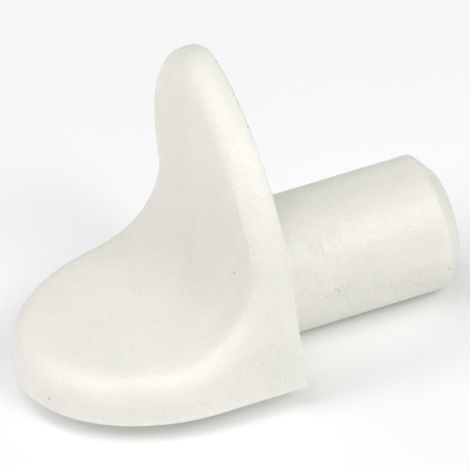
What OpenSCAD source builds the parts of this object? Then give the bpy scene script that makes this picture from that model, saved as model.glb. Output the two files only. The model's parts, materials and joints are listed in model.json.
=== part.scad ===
// Shelf support pin, moulded in one piece.
// A round pin plugs into a hole in the side of a cabinet; the head carries a flat
// bearing face, a rounded plate that lies on the panel, and a ledge joined to the
// plate by a deep concave web.  Millimetres, +Z up.
// Origin: where the pin's axis crosses the back of the plate.  +X runs along the
// pin to its free end, +Z towards the round top of the plate, Y across.

/* [Pin] */
// Diameter of the pin
pin_d = 5; // [4.2:0.1:6]
// Length of the pin from the back of the plate to its end face
pin_len = 7.5; // [6:0.1:12]
// Length of the bevel on the free end
bevel_len = 0.6; // [0.3:0.05:1.2]
// Diameter of the end face inside the bevel
end_d = 3.5; // [2.5:0.1:4]

/* [Plate] */
// Width of the plate and the ledge
head_w = 11.3; // [10:0.1:13]
// Thickness of the plate
plate_t = 1.2; // [1.05:0.05:2]
// Height of the top of the plate above the pin's axis
plate_top = 9.15; // [8.4:0.05:12]
// Height above the pin's axis where the sides start to curve in, lower on a low wide plate
side_top = 2.8; // [1.5:0.1:3.6]
// Radius of the round top of the plate
top_r = 2.8; // [1.5:0.1:3.6]

/* [Ledge] */
// Reach of the ledge from the back of the plate
ledge_len = 8.9; // [8:0.1:12]
// Distance of the flat face from the pin's axis
flat_drop = 1.8; // [1.4:0.1:3]
// Thickness of the ledge at the foot of the hollow
ledge_t = 1.8; // [1.6:0.1:3]
// Fall of the ledge towards its nose, degrees
ledge_fall = 2.5; // [0:0.5:3]

/* [Web and rim] */
// Radius of the hollow between plate and ledge
web_r = 3.3; // [2.4:0.1:3.9]
// Radius of the rounding round the rim
rim_r = 0.9; // [0.5:0.05:1]
// Angle at which the rim's rounding meets the plate's face, degrees
face_break = 20; // [0:1:30]

/* [Hidden] */

$fn = 120;

half = head_w/2;
side = min(side_top, plate_top - half);
web_top = web_r + ledge_t - flat_drop;  // height where the hollow starts
tiny = 0.002;           // width of the closing faces at the plate's top and the nose
rows_face = 18;         // rows down the plate's face
rows_web = 9;           // rows in each half of the hollow
rows_ledge = 18;        // rows along the ledge
cols_flat = 4;          // columns from the middle to the rounding
cols_rim = 6;           // columns across the rounding
cols_wall = 3;          // columns down the side wall

// ---- plate, seen along the pin: straight sides up to s, long arcs, top arc r at height e ----
function arc_r(w, s, e, r) = (w*w - r*r + pow(e-r-s, 2))/(2*(w-r));
function plate_w(z, w, s, e, r) =
    let (a = arc_r(w, s, e, r), h = e-r-s, j = s + a*h/norm([a-w, h]))
    z <= s ? w :
    z <= j ? w - a + sqrt(max(0, a*a - pow(z-s, 2))) :
    sqrt(max(0, r*r - pow(z-e+r, 2)));
// distance outside the outline, negative inside it
function plate_off(y, z, w, s, e, r) =
    let (a = arc_r(w, s, e, r))
    z <= s ? y - w :
    atan2(z-s, y-w+a) <= atan2(e-r-s, a-w) ? norm([y-w+a, z-s]) - a :
    norm([y, z-e+r]) - r;

// ---- ledge, seen from above: straight sides, then a half round nose ----
nose_x = half - ledge_len;
function ledge_w(x, w) = sqrt(max(0, w*w - pow(min(0, x - nose_x), 2)));
function ledge_off(x, y) = norm([y, min(0, x - nose_x)]) - half;

function width_at(x, z, b=0) = min(
    plate_w(z, half-b, side, plate_top-b, top_r-b), ledge_w(x, half-b));
function off_at(x, y, z) = min(0, max(
    plate_off(y, z, half, side, plate_top, top_r), ledge_off(x, y)));

// ---- rows: [x, z, angle of the section below level] along the face, hollow and ledge ----
web_x = -plate_t - web_r;
web_end = 90 - ledge_fall;
web_corner = atan2(web_top + flat_drop, -web_x);
web_out = [web_x + web_r*cos(web_end), web_top - web_r*sin(web_end)];
rows = [
    for (i = [0:rows_face])
        [-plate_t, plate_top - tiny - (plate_top - tiny - web_top)*(1 - cos(90*i/rows_face)), 0],
    for (i = [1:rows_web])
        let (a = web_corner*i/rows_web)
        [web_x + web_r*cos(a), web_top - web_r*sin(a), a],
    for (i = [1:rows_web])
        let (a = web_corner + (web_end - web_corner)*i/rows_web)
        [web_x + web_r*cos(a), web_top - web_r*sin(a), a],
    for (i = [1:rows_ledge])
        let (f = sin(90*i/rows_ledge), x = web_out[0] - (ledge_len - tiny + web_out[0])*f)
        [x, web_out[1] + tan(ledge_fall)*(x - web_out[0]), web_end + ledge_fall*min(1, 2*f)]
];

function ease(t) = let (c = max(0, min(1, t))) c*c*(3 - 2*c);
function crease(a) = face_break*(1 - ease(a/18));
// depth of the surface below the face, at b inside the outline
function sink(b, c) = max(0, rim_r - sqrt(max(0, rim_r*rim_r - pow(max(0, b + rim_r), 2)))
    - rim_r*(1 - cos(c)));
function sink_at(r, y, c, u, n) = n == 0 ? u :
    sink_at(r, y, c, sink(off_at(r[0] + cos(r[2])*u, y, r[1] - sin(r[2])*u), c), n-1);

// one closed loop of points in the plane of a row
function loop(r) = let (
    dx = cos(r[2]), dz = -sin(r[2]), c = crease(r[2]),
    back = dx > 1e-9 ? -r[0]/dx : 1e9,
    under = dz < -1e-9 ? -(r[1] + flat_drop)/dz : 1e9,
    out = min(back, under),
    lip = rim_r*cos(c),
    w = width_at(r[0] + dx*lip, r[1] + dz*lip),
    b = rim_r*(1 - sin(c)),
    yc = max(width_at(r[0], r[1], b), 0.4*w),
    ys = [
        for (j = [0:cols_flat]) yc*j/cols_flat,
        for (j = [1:cols_rim]) w - (w - yc)*(1 - cos((90-c)*(1 - j/cols_rim)))/(1 - cos(90-c))
    ],
    n = len(ys) - 1,
    face = [for (j = [0:n]) let (u = j == n ? lip : sink_at(r, ys[j], c, 0, 3))
        [r[0] + dx*u, ys[j], r[1] + dz*u]],
    wall = [for (j = [1:cols_wall]) let (
        u = lip + (out - lip)*j/cols_wall, last = j == cols_wall,
        x = last && back <= under + 1e-9 ? 0 : r[0] + dx*u,
        z = last && under <= back + 1e-9 ? -flat_drop : r[1] + dz*u)
        [x, width_at(x, z), z]],
    side = concat(face, wall), m = len(side) - 1)
    concat([for (j = [m:-1:1]) [side[j][0], -side[j][1], side[j][2]]], side);

module head() {
    pts = [for (r = rows) loop(r)];
    k = len(pts);
    m = len(pts[0]);
    mid = (m-1)/2;
    polyhedron(
        points = [for (p = pts) each p],
        faces = [
            for (j = [0:m-1]) let (n = (j+1)%m) if (j != mid && n != mid)
                each [[mid, j, n], [(k-1)*m + mid, (k-1)*m + n, (k-1)*m + j]],
            for (i = [0:k-2], j = [0:m-1]) let (a = i*m + j, b = i*m + (j+1)%m)
                each [[a, b+m, b], [a, a+m, b+m]]
        ]);
}

module pin() {
    rotate([0, 90, 0]) {
        cylinder(d = pin_d, h = pin_len - bevel_len);
        translate([0, 0, pin_len - bevel_len])
            cylinder(d1 = pin_d, d2 = end_d, h = bevel_len);
    }
}

module shelf_pin() {
    color([0.90, 0.91, 0.87]) union() {
        head();
        pin();
    }
}

shelf_pin();
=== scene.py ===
import json
import math

import bmesh
import bpy
import numpy as np
from mathutils import Matrix, Vector


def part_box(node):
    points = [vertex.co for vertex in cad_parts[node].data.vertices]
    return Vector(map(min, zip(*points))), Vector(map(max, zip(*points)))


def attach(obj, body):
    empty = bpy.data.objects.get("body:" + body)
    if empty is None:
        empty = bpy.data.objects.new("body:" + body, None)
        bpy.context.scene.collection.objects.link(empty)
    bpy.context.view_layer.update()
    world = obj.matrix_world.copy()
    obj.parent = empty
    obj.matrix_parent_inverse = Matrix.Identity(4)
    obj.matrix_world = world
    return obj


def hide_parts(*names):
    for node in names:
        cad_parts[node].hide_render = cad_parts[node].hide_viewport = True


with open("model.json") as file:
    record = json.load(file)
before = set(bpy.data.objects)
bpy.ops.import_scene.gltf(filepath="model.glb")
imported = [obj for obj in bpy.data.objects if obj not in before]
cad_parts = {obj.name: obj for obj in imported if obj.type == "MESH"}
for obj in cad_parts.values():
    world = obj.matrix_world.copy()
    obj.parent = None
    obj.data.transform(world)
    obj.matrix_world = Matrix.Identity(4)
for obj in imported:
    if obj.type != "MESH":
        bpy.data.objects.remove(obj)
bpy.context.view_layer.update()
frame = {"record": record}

MM = 0.001
lo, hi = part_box("shelf_pin")
mounts = {m["name"]: m for m in frame["record"]["mounts"]}

# ---------------------------------------------------------------- sizes, in millimetres
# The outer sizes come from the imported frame, the rest repeats the part's own dimensions.
HALF = hi.y / MM                                   # half the width of plate and ledge
TOP = hi.z / MM                                    # top of the plate
NOSE = -lo.x / MM                                  # reach of the ledge
PIN_LEN = hi.x / MM
PIN_R = mounts["pin"]["dims"]["r_mm"]
PIN_WALL = mounts["pin"]["dims"]["length_mm"]
DROP = -mounts["shelf_face"]["pos_m"][2] / MM      # flat face below the pin's axis
PLATE_T = 1.2
SIDE = 2.8
TOP_R = 2.8
WEB_R = 3.3
LEDGE_T = 1.8
FALL = math.radians(2.5)
RIM = 0.9
BREAK = math.radians(20)
EDGE = 0.10                                        # small rounding of the back and bottom edges
END_R = 1.75                                       # end face of the pin inside its bevel

COL_A = (0.862, 0.861, 0.780, 1)                   # the plastic, in two tones
COL_B = (0.892, 0.884, 0.812, 1)
ROUGH = 0.44                                       # the head; the pin is a little smoother
BUMP = 0.000034                                    # 34 micrometres

WEB_TOP = WEB_R + LEDGE_T - DROP
WEB_X = -PLATE_T - WEB_R
WEB_END = math.pi / 2 - FALL
NOSE_X = HALF - NOSE
OUT_X = WEB_X + WEB_R * math.cos(WEB_END)
OUT_Z = WEB_TOP - WEB_R * math.sin(WEB_END)
T1 = TOP - WEB_TOP                                 # arc length down the face
T2 = T1 + WEB_R * WEB_END                          # and round the hollow
ARC = (HALF**2 - TOP_R**2 + (TOP - TOP_R - SIDE)**2) / (2 * (HALF - TOP_R))
JOIN = math.atan2(TOP - TOP_R - SIDE, ARC - HALF)  # where long arc meets top arc


def plate_w(z):
    j = SIDE + ARC * math.sin(JOIN)
    if z <= SIDE:
        return HALF
    if z <= j:
        return HALF - ARC + math.sqrt(max(0, ARC**2 - (z - SIDE)**2))
    return math.sqrt(max(0, TOP_R**2 - (z - TOP + TOP_R)**2))


def ledge_w(x):
    return math.sqrt(max(0, HALF**2 - min(0, x - NOSE_X)**2))


def width_at(x, z):
    return min(plate_w(z), ledge_w(x))


def sheet(t):
    """Point and inward direction of the unrolled surface that face, hollow and ledge make: x, z, angle below level."""
    if t <= T1:
        return -PLATE_T, TOP - t, 0.0
    if t <= T2:
        a = (t - T1) / WEB_R
        return WEB_X + WEB_R * math.cos(a), WEB_TOP - WEB_R * math.sin(a), a
    s = t - T2
    x = OUT_X - s * math.cos(FALL)
    f = (OUT_X - x) / (OUT_X + NOSE)
    return x, OUT_Z - s * math.sin(FALL), WEB_END + FALL * min(1, 2 * f)


def crease(a):
    c = max(0.0, min(1.0, a / math.radians(18)))
    return BREAK * (1 - c * c * (3 - 2 * c))


def reach(x, z, a):
    """Distance from a point of the sheet, square to it, to the back of the plate or the flat face, with their corner rounded."""
    dx, dz = math.cos(a), -math.sin(a)
    back = -x / dx if dx > 1e-9 else 1e9
    under = -(z + DROP) / dz if dz < -1e-9 else 1e9
    if back < under and z + dz * back >= -DROP + EDGE:
        return back, "back"
    if under <= back and x + dx * under <= -EDGE:
        return under, "under"
    cx, cz = x + EDGE, z + DROP - EDGE
    b = cx * dx + cz * dz
    return -b + math.sqrt(max(0, b * b - (cx * cx + cz * cz - EDGE * EDGE))), "corner"


# ---------------------------------------------------------------- the outline, from the plate's top to the ledge's nose
outline = []                                       # (t, w)


def put(t):
    x, z, a = sheet(t)
    lip = RIM * math.cos(crease(a))
    outline.append((t, width_at(x + math.cos(a) * lip, z - math.sin(a) * lip)))


for i in range(28):                                # top arc
    th = math.pi / 2 + (JOIN - math.pi / 2) * i / 28
    outline.append((TOP - (TOP - TOP_R + TOP_R * math.sin(th)), TOP_R * math.cos(th)))
low = math.asin((WEB_TOP - SIDE) / ARC)
for i in range(30):                                # long arc
    th = JOIN + (low - JOIN) * i / 30
    outline.append((TOP - (SIDE + ARC * math.sin(th)), HALF - ARC + ARC * math.cos(th)))
corner = math.atan2(WEB_TOP + DROP, -WEB_X)
fine = math.radians(0.95)
angles = (
    list(np.linspace(0, corner - fine, 40)[:-1])
    + list(np.linspace(corner - fine, corner + fine, 9)[:-1])
    + list(np.linspace(corner + fine, WEB_END, 36))
)
for a in angles:                                   # hollow
    put(T1 + WEB_R * a)
first = math.asin((NOSE_X - OUT_X) / HALF)
for i in range(1, 49):                             # ledge
    psi = first + (math.pi / 2 - first) * i / 48
    x = NOSE_X - HALF * math.sin(psi)
    put(T2 + (OUT_X - x) / math.cos(FALL))
outline[-1] = (outline[-1][0], 0.0)
N = len(outline) - 1

# inward normals in the unrolled plane
half_t = np.array([p[0] for p in outline])
half_w = np.array([p[1] for p in outline])
loop_t = np.concatenate([half_t, half_t[-2:0:-1]])
loop_y = np.concatenate([half_w, -half_w[-2:0:-1]])
M = len(loop_t)
seg = np.stack([np.roll(loop_t, -1) - loop_t, np.roll(loop_y, -1) - loop_y], 1)
ln = np.linalg.norm(seg, axis=1)
u = seg / ln[:, None]
lp = np.roll(ln, 1)
tan = np.roll(u, 1, 0) * ln[:, None] + u * lp[:, None]     # weighted so that uneven spacing does no harm
tan /= np.linalg.norm(tan, axis=1)[:, None]
nrm = np.stack([tan[:, 1], -tan[:, 0]], 1)                 # points inside, because the loop runs down +y first
nrm[0] = (1, 0)
nrm[N] = (-1, 0)
if (nrm[N // 2] * np.array([0, -1])).sum() < 0:
    nrm = -nrm
    nrm[0] = (1, 0)
    nrm[N] = (-1, 0)

# ---------------------------------------------------------------- rings of points round the head
ROUND = 20
WALL = 8
SMALL = 6
rings = []                                         # each a list of M points, from the flat inside to the bottom edge


def on_sheet(t, y, sink):
    x, z, a = sheet(t)
    return (x + math.cos(a) * sink, y, z - math.sin(a) * sink)


def ring(fn):
    rings.append([fn(j) for j in range(M)])


cr = [crease(sheet(t)[2]) for t in loop_t]


def rounding(j, phi):
    inset = RIM * (1 - math.sin(phi))
    return on_sheet(loop_t[j] + nrm[j, 0] * inset, loop_y[j] + nrm[j, 1] * inset, RIM * (math.cos(cr[j]) - math.cos(phi)))


def flat_inside(j, extra):
    inset = RIM * (1 - math.sin(cr[j])) + extra
    return on_sheet(loop_t[j] + nrm[j, 0] * inset, loop_y[j] + nrm[j, 1] * inset, 0.0)


ring(lambda j: flat_inside(j, 0.30))
ring(lambda j: flat_inside(j, 0.04))
for k in range(ROUND + 1):
    ring(lambda j: rounding(j, cr[j] + (math.pi / 2 - cr[j]) * k / ROUND))
side_of = []
outs = []
for j in range(M):
    x, z, a = sheet(loop_t[j])
    d, where = reach(x, z, a)
    outs.append(d)
    side_of.append(where)


def wall(j, depth, pull):
    x, z, a = sheet(loop_t[j])
    px, pz = x + math.cos(a) * depth, z - math.sin(a) * depth
    w = width_at(px, pz)
    if j in (0, N):
        # the two ends of the outline: the wall there faces up, or out past the nose
        return (px, 0.0, pz - pull) if j == 0 else (px + pull, 0.0, pz)
    s = 1 if j < N else -1
    n = nrm[j]
    # pull in along the outline's own inward direction
    if a == 0.0:
        return (px, s * w + n[1] * pull, pz - n[0] * pull)
    if px < NOSE_X:
        v = np.array([NOSE_X - px, -s * w])
        v /= np.linalg.norm(v)
        return (px + v[0] * pull, s * w + v[1] * pull, pz)
    return (px, s * (w - pull), pz)


for k in range(1, WALL + 1):
    ring(lambda j: wall(j, RIM * math.cos(cr[j]) + (outs[j] - EDGE - RIM * math.cos(cr[j])) * k / WALL, 0.0))
for k in range(1, SMALL + 1):
    b = math.pi / 2 * k / SMALL
    ring(lambda j: wall(j, outs[j] - EDGE * (1 - math.sin(b)), EDGE * (1 - math.cos(b))))


def inside_cap(j):
    """One more ring on the back and flat faces, just inside their rounded edges, so that they shade flat."""
    x, y, z = rings_last[j]
    pull = 0.12
    if side_of[j] == "back":
        cy, cz = 0.0, min(4.0, max(z, 1.0))
        v = np.array([cy - y, cz - z])
        v /= max(1e-9, np.linalg.norm(v))
        return (x, y + v[0] * pull, z + v[1] * pull)
    if side_of[j] == "under":
        cx = max(x, -4.0) if x > -4.0 else -4.0
        v = np.array([cx - x, -y])
        v /= max(1e-9, np.linalg.norm(v))
        return (x + v[0] * pull, y + v[1] * pull, z)
    return (x, y - math.copysign(pull, y), z)


rings_last = rings[-1]
ring(inside_cap)

# snap the last rings to their planes
for r in rings[-2:]:
    for j in range(M):
        x, y, z = r[j]
        if side_of[j] == "back":
            r[j] = (0.0, y, z)
        elif side_of[j] == "under":
            r[j] = (x, y, -DROP)

verts = [p for r in rings for p in r]
faces = []
K = len(rings)
for k in range(K - 1):
    for j in range(M):
        a, b = k * M + j, k * M + (j + 1) % M
        faces.append((a, b, b + M, a + M))

# inside of the face, hollow and ledge: rows across from one side to the other
ACROSS = 8
rows = []
for j in range(N + 1):
    if j in (0, N):
        rows.append([j])
        continue
    row = [j]
    p, q = np.array(verts[j]), np.array(verts[(M - j) % M])
    for i in range(1, ACROSS):
        verts.append(tuple(p + (q - p) * i / ACROSS))
        row.append(len(verts) - 1)
    row.append((M - j) % M)
    rows.append(row)
for r0, r1 in zip(rows[:-1], rows[1:]):
    if len(r0) == 1:
        for i in range(len(r1) - 1):
            faces.append((r0[0], r1[i + 1], r1[i]))
    elif len(r1) == 1:
        for i in range(len(r0) - 1):
            faces.append((r1[0], r0[i], r0[i + 1]))
    else:
        for i in range(len(r0) - 1):
            faces.append((r0[i], r0[i + 1], r1[i + 1], r1[i]))

# back of the plate, the rounded corner strip, and the flat face
base = (K - 1) * M
backs = [j for j in range(N + 1) if side_of[j] == "back"]
corners = [j for j in range(N + 1) if side_of[j] == "corner"]
unders = [j for j in range(N + 1) if side_of[j] == "under"]
strip = [backs[-1]] + corners + [unders[0]]
faces.append([base + j for j in backs][::-1] + [base + (M - j) for j in backs[1:]])
for j0, j1 in zip(strip[:-1], strip[1:]):
    faces.append((base + j0, base + (M - j0), base + (M - j1), base + j1))
faces.append([base + j for j in unders[:-1]][::-1] + [base + (M - j) for j in unders[:-1]] + [base + N])


def mesh_object(name, pts, polys):
    me = bpy.data.meshes.new(name)
    me.from_pydata([tuple(c * MM for c in p) for p in pts], [], [list(f) for f in polys])
    bm = bmesh.new()
    bm.from_mesh(me)
    bmesh.ops.remove_doubles(bm, verts=bm.verts, dist=1e-8)
    bmesh.ops.dissolve_degenerate(bm, dist=1e-9, edges=bm.edges)
    bmesh.ops.recalc_face_normals(bm, faces=bm.faces)
    bm.to_mesh(me)
    open_edges = sum(1 for e in bm.edges if len(e.link_faces) != 2)
    vol = bm.calc_volume()
    bm.free()
    ob = bpy.data.objects.new(name, me)
    bpy.context.scene.collection.objects.link(ob)
    print("mesh", name, len(me.vertices), "open edges", open_edges, "volume mm3", round(vol / MM**3, 2))
    return ob


head = mesh_object("head_shape", verts, faces)

# ---------------------------------------------------------------- the pin, turned about X
TURN = 192
ANG = math.atan2(PIN_R - END_R, PIN_LEN - PIN_WALL)   # how far the bevel turns in


def fillet(p, d0, d1, r, n):
    """Points of a rounding of radius r at corner p, between unit directions d0 (arriving) and d1 (leaving)."""
    d0, d1 = np.array(d0), np.array(d1)
    bend = math.acos(max(-1, min(1, float(d0 @ d1))))
    cut = r * math.tan(bend / 2)
    a = np.array(p) - d0 * cut
    n0 = np.array([-d0[1], d0[0]])
    if n0 @ d1 < 0:
        n0 = -n0
    c = a + n0 * r
    out = []
    for i in range(n + 1):
        g = bend * i / n
        out.append(tuple(c - n0 * r * math.cos(g) + d0 * r * math.sin(g)))
    return out


bev = (math.cos(ANG), -math.sin(ANG))
profile = [(-EDGE, PIN_R)]
for x in np.linspace(0.0, PIN_WALL - 0.35, 12):
    profile.append((float(x), PIN_R))
profile += fillet((PIN_WALL, PIN_R), (1, 0), bev, 0.22, 8)
profile += fillet((PIN_LEN, END_R), bev, (0, -1), 0.12, 8)
profile += [(PIN_LEN, END_R - 0.22), (PIN_LEN, END_R * 0.5)]
pv, pf = [], []
for x, r in profile:
    for i in range(TURN):
        g = 2 * math.pi * i / TURN
        pv.append((x, r * math.cos(g), r * math.sin(g)))
for k in range(len(profile) - 1):
    for i in range(TURN):
        a, b = k * TURN + i, k * TURN + (i + 1) % TURN
        pf.append((a, b, b + TURN, a + TURN))
pf.append(list(range(TURN))[::-1])
pf.append([(len(profile) - 1) * TURN + i for i in range(TURN)])
pin = mesh_object("pin_shape", pv, pf)

# ---------------------------------------------------------------- one moulding
mod = head.modifiers.new("join", "BOOLEAN")
mod.operation = "UNION"
mod.solver = "EXACT"
mod.object = pin
dg = bpy.context.evaluated_depsgraph_get()
me = bpy.data.meshes.new_from_object(head.evaluated_get(dg))
me.name = "shelf_pin_moulding"
body = bpy.data.objects.new("shelf_pin_moulding", me)
bpy.context.scene.collection.objects.link(body)
for o in (head, pin):
    m_old = o.data
    bpy.data.objects.remove(o)
    bpy.data.meshes.remove(m_old)
bm = bmesh.new()
bm.from_mesh(me)
bmesh.ops.remove_doubles(bm, verts=bm.verts, dist=5e-8)
bmesh.ops.dissolve_degenerate(bm, dist=1e-8, edges=bm.edges)
print("moulding open edges", sum(1 for e in bm.edges if len(e.link_faces) != 2),
      "faces", len(bm.faces), "volume mm3", round(bm.calc_volume() / MM**3, 2))
bm.to_mesh(me)
bm.free()
me.polygons.foreach_set("use_smooth", [True] * len(me.polygons))
me.set_sharp_from_angle(angle=math.radians(38))
me.update()

# ---------------------------------------------------------------- material
mat = bpy.data.materials.new("natural_white_plastic")
mat.use_nodes = True
nt = mat.node_tree
nt.nodes.clear()
L = nt.links.new


def node(kind, **props):
    n = nt.nodes.new(kind)
    for k, v in props.items():
        setattr(n, k, v)
    return n


def feed(socket, v):
    if isinstance(v, (int, float, tuple)):
        socket.default_value = v
    else:
        L(v, socket)


def calc(op, a, b=None, c=None, clamp=False):
    n = node("ShaderNodeMath", operation=op, use_clamp=clamp)
    for i, v in enumerate((a, b, c)):
        if v is not None:
            feed(n.inputs[i], v)
    return n.outputs[0]


def vec(op, a, b=None, scale=None):
    n = node("ShaderNodeVectorMath", operation=op)
    feed(n.inputs[0], a)
    if b is not None:
        feed(n.inputs[1], b)
    if scale is not None:
        n.inputs["Scale"].default_value = scale
    return n.outputs["Value"] if op in ("LENGTH", "DISTANCE", "DOT_PRODUCT") else n.outputs["Vector"]


def band(v, a, b, to=(0.0, 1.0)):
    """Smooth step of v from a to b, held outside them."""
    n = node("ShaderNodeMapRange", interpolation_type="SMOOTHSTEP", clamp=True)
    feed(n.inputs["Value"], v)
    for k, x in (("From Min", a), ("From Max", b), ("To Min", to[0]), ("To Max", to[1])):
        n.inputs[k].default_value = x
    return n.outputs["Result"]


def noise(v, scale, detail=2.0, rough=0.5, warp=0.0):
    n = node("ShaderNodeTexNoise", noise_dimensions="3D")
    feed(n.inputs["Vector"], v)
    for k, x in (("Scale", scale), ("Detail", detail), ("Roughness", rough), ("Distortion", warp)):
        n.inputs[k].default_value = x
    return n.outputs["Fac"]


def mix(fac, a, b, mode="MIX"):
    n = node("ShaderNodeMix", data_type="RGBA", blend_type=mode)
    feed(n.inputs[0], fac)
    feed(n.inputs[6], a)
    feed(n.inputs[7], b)
    return n.outputs[2]


def shift(v, amount):
    """A grey colour 1 + amount*(v - 0.5), to multiply with."""
    return calc("MULTIPLY_ADD", v, amount, 1.0 - amount / 2)


P = vec("SCALE", node("ShaderNodeTexCoord").outputs["Object"], scale=1000.0)      # millimetres
sep = node("ShaderNodeSeparateXYZ")
L(P, sep.inputs[0])
PX, PY, PZ = sep.outputs

# the pin: a mask, and its surface unrolled to x and angle
on_pin = band(PX, 0.03, 0.10)
turn = calc("ARCTAN2", PZ, calc("MULTIPLY", PY, -1.0))                            # 0 on the -Y side
comb = node("ShaderNodeCombineXYZ")
L(calc("MULTIPLY", PX, 4.6), comb.inputs[0])
L(calc("MULTIPLY", turn, 2.1), comb.inputs[1])
drag = noise(comb.outputs[0], 1.0, 3.0, 0.6, 0.3)                                # marks that run round the pin
drag = band(drag, 0.50, 0.72)
drag = calc("MULTIPLY", drag, calc("MULTIPLY", on_pin, band(PX, 4.6, 1.6)))
drag = calc("MULTIPLY", drag, band(noise(P, 0.55, 1.0), 0.36, 0.56))

# colour: slow clouding of the melt, a finer mottle, and grain
cloud = band(noise(P, 0.30, 2.0, 0.55, 0.4), 0.36, 0.64)
colour = mix(cloud, COL_A, COL_B)
mottle = noise(P, 1.5, 3.0, 0.6)
speckle = noise(P, 9.0, 2.0, 0.7)
tone = calc("MULTIPLY", shift(mottle, 0.035), shift(speckle, 0.14))
tone = calc("MULTIPLY", tone, calc("MULTIPLY_ADD", drag, -0.045, 1.0))

# rough, pitted strip along the parting line, on both sides of the pin, wider towards the end
off_line = calc("ABSOLUTE", calc("ADD", PZ, calc("MULTIPLY_ADD", PX, 0.16, -0.10)))
off_line = calc("DIVIDE", off_line, calc("MULTIPLY_ADD", PX, 0.085, 0.12))
line = calc("MULTIPLY", band(off_line, 1.0, 0.25), calc("MULTIPLY", band(PX, 0.8, 2.2), band(PX, 7.45, 7.0)))
patchy = band(noise(P, 0.9, 1.0), 0.34, 0.56, (0.35, 1.0))
line = calc("MULTIPLY", line, patchy)
pits = calc("MULTIPLY", band(noise(P, 6.5, 2.0, 0.65), 0.50, 0.64), line)
grime = calc("MULTIPLY", band(noise(vec("ADD", P, (3.1, 0.0, 7.7)), 5.0, 2.0, 0.6), 0.61, 0.70), line)

# a few dark specks of dust and small inclusions
SPECKS = [
    (-1.38, -3.31, 2.22, 0.055, 1.0), (-5.69, -0.99, -0.05, 0.050, 0.4), (-8.79, 1.05, -0.98, 0.060, 1.0),
    (-8.49, -2.10, -1.25, 0.065, 1.0), (-5.39, -2.66, -0.04, 0.040, 0.4), (-0.05, -0.63, 9.10, 0.055, 1.0),
    (-0.05, -2.17, 8.54, 0.050, 1.0), (-0.05, -2.57, 8.32, 0.050, 1.0), (-0.05, -3.34, 7.76, 0.055, 1.0),
    (6.77, -2.38, -0.77, 0.060, 0.5), (6.91, -1.98, -1.47, 0.060, 0.8),
]
dirt = calc("MAXIMUM", calc("MULTIPLY", pits, 0.28), calc("MULTIPLY", grime, 0.55))
for x, y, z, r, strength in SPECKS:
    d = vec("DISTANCE", P, (x, y, z))
    dirt = calc("MAXIMUM", dirt, calc("MULTIPLY", band(d, r * 1.35, r * 0.45), strength))
cells = node("ShaderNodeTexVoronoi", feature="F1", voronoi_dimensions="3D")
L(P, cells.inputs["Vector"])
cells.inputs["Scale"].default_value = 0.9
csep = node("ShaderNodeSeparateColor")
L(cells.outputs["Color"], csep.inputs[0])
strewn = calc("MULTIPLY", band(cells.outputs["Distance"], 0.050, 0.022), band(csep.outputs[0], 0.70, 0.72))
dirt = calc("MAXIMUM", dirt, calc("MULTIPLY", strewn, 0.22))
grey = node("ShaderNodeCombineColor")
for i in range(3):
    L(tone, grey.inputs[i])
colour = mix(1.0, colour, grey.outputs[0], "MULTIPLY")
colour = mix(calc("MULTIPLY", dirt, 0.60), colour, (0.24, 0.22, 0.16, 1))

# surface: the pebbled grain of the mould, with the marks round the pin and the pits
pebble = node("ShaderNodeTexVoronoi", feature="SMOOTH_F1", voronoi_dimensions="3D")
warp = node("ShaderNodeTexNoise", noise_dimensions="3D")
L(P, warp.inputs["Vector"])
warp.inputs["Scale"].default_value = 3.0
L(vec("ADD", P, vec("SCALE", vec("SUBTRACT", warp.outputs["Color"], (0.5, 0.5, 0.5)), scale=0.10)), pebble.inputs["Vector"])
pebble.inputs["Scale"].default_value = 6.5
pebble.inputs["Smoothness"].default_value = 0.6
fine = noise(P, 11.0, 1.0, 0.5)
grain = calc("ADD", calc("MULTIPLY", pebble.outputs["Distance"], 0.30), fine)
swell = noise(P, 0.7, 2.0, 0.5)
height = calc("ADD", grain, calc("MULTIPLY", swell, 0.45))
height = calc("SUBTRACT", height, calc("MULTIPLY", drag, 0.75))
height = calc("SUBTRACT", height, calc("MULTIPLY", pits, 0.35))
bump = node("ShaderNodeBump")
bump.inputs["Strength"].default_value = 1.0
bump.inputs["Distance"].default_value = BUMP
L(height, bump.inputs["Height"])

out = node("ShaderNodeOutputMaterial")
bsdf = node("ShaderNodeBsdfPrincipled")
L(bsdf.outputs["BSDF"], out.inputs["Surface"])
L(colour, bsdf.inputs["Base Color"])
L(calc("MULTIPLY_ADD", on_pin, -0.12, calc("MULTIPLY_ADD", grain, 0.05, ROUGH - 0.03)), bsdf.inputs["Roughness"])
L(bump.outputs[0], bsdf.inputs["Normal"])
bsdf.inputs["IOR"].default_value = 1.5
bsdf.inputs["Specular IOR Level"].default_value = 0.75
bsdf.inputs["Subsurface Weight"].default_value = 1.0
bsdf.inputs["Subsurface Radius"].default_value = (1.0, 1.0, 0.85)
bsdf.inputs["Subsurface Scale"].default_value = 0.0008
me.materials.clear()
me.materials.append(mat)

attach(body, "root")
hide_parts("shelf_pin")

# ---------------------------------------------------------------- floor, light, camera
fz = lo.z - 0.00002
fm = bpy.data.meshes.new("floor")
S = 1.2
fm.from_pydata([(-S, -S, fz), (S, -S, fz), (S, S, fz), (-S, S, fz)], [], [(0, 1, 2, 3)])
floor = bpy.data.objects.new("floor", fm)
bpy.context.scene.collection.objects.link(floor)
fmat = bpy.data.materials.new("pale_floor")
fmat.use_nodes = True
fb = fmat.node_tree.nodes["Principled BSDF"]
fb.inputs["Base Color"].default_value = (0.92, 0.92, 0.92, 1)
fb.inputs["Roughness"].default_value = 0.9
fb.inputs["Emission Color"].default_value = (1, 1, 1, 1)
fb.inputs["Emission Strength"].default_value = 0.10    # a light table: it keeps the floor pale and soft under the part
fm.materials.append(fmat)

world = bpy.data.worlds.new("studio")
bpy.context.scene.world = world
world.use_nodes = True
world.node_tree.nodes["Background"].inputs[0].default_value = (1, 1, 1, 1)
world.node_tree.nodes["Background"].inputs[1].default_value = 0.0


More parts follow.
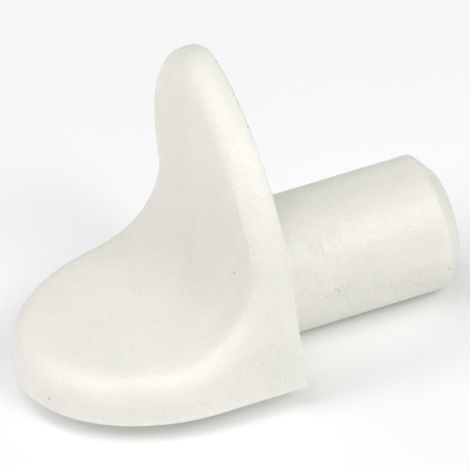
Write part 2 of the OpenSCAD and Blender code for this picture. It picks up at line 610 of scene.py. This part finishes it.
def area(name, az, el, dist, size, power, color=(1, 1, 1)):
    li = bpy.data.lights.new(name, "AREA")
    li.shape = "DISK"
    li.size = size
    li.energy = power
    li.color = color
    ob = bpy.data.objects.new(name, li)
    a, e = math.radians(az), math.radians(el)
    v = Vector((-math.sin(a) * math.cos(e), -math.cos(a) * math.cos(e), math.sin(e)))
    mid = Vector((-0.001, 0, 0.002))
    ob.location = mid + v * dist
    ob.rotation_euler = (-v).to_track_quat("-Z", "Y").to_euler()
    bpy.context.scene.collection.objects.link(ob)
    return ob


COOL = (0.988, 0.966, 1.0)                          # the soft boxes are not all of one white
WARM = (0.985, 1.0, 0.960)
area("front", 12, 42, 0.36, 0.22, 0.124, COOL)
area("front_high", 0, 68, 0.36, 0.22, 0.136, COOL)
area("back_left", 150, 40, 0.36, 0.22, 0.128, WARM)
area("back_right", 200, 24, 0.36, 0.20, 0.089, WARM)
area("right_low", 280, 20, 0.36, 0.19, 0.157, WARM)
area("right", 315, 44, 0.36, 0.22, 0.222, WARM)
area("front_low", 344, 36, 0.36, 0.12, 0.322, COOL)
area("top_left", 88, 67, 0.36, 0.36, 0.535, COOL)
area("left_side", 93, 33, 0.36, 0.20, 0.327, COOL)

# camera: the photograph's viewing angle, long lens, a little roll
A, E, ROLL = math.radians(15.35), math.radians(29.47), math.radians(9.13)
PX_MM, U0, V0, DIST = 27.94, 247.86, 275.02, 300.0
SIDE_PX = 470.0
view_d = Vector((math.sin(A) * math.cos(E), math.cos(A) * math.cos(E), -math.sin(E)))
right = Vector((math.cos(A), -math.sin(A), 0))
upv = Vector((math.sin(A) * math.sin(E), math.cos(A) * math.sin(E), math.cos(E)))
R = math.cos(ROLL) * right - math.sin(ROLL) * upv
U = math.sin(ROLL) * right + math.cos(ROLL) * upv
ox, oy = (U0 - SIDE_PX / 2) / PX_MM, (SIDE_PX / 2 - V0) / PX_MM
pos = (-DIST * view_d - ox * R - oy * U) * MM
cam_data = bpy.data.cameras.new("camera")
cam_data.sensor_width = 36
cam_data.lens = 36 * PX_MM * DIST / SIDE_PX
cam_data.clip_start = 0.01
cam_data.clip_end = 10
cam = bpy.data.objects.new("camera", cam_data)
m = Matrix((R, U, -view_d)).transposed().to_4x4()
m.translation = pos
cam.matrix_world = m
bpy.context.scene.collection.objects.link(cam)
bpy.context.scene.camera = cam

bpy.context.scene.view_settings.view_transform = "Standard"
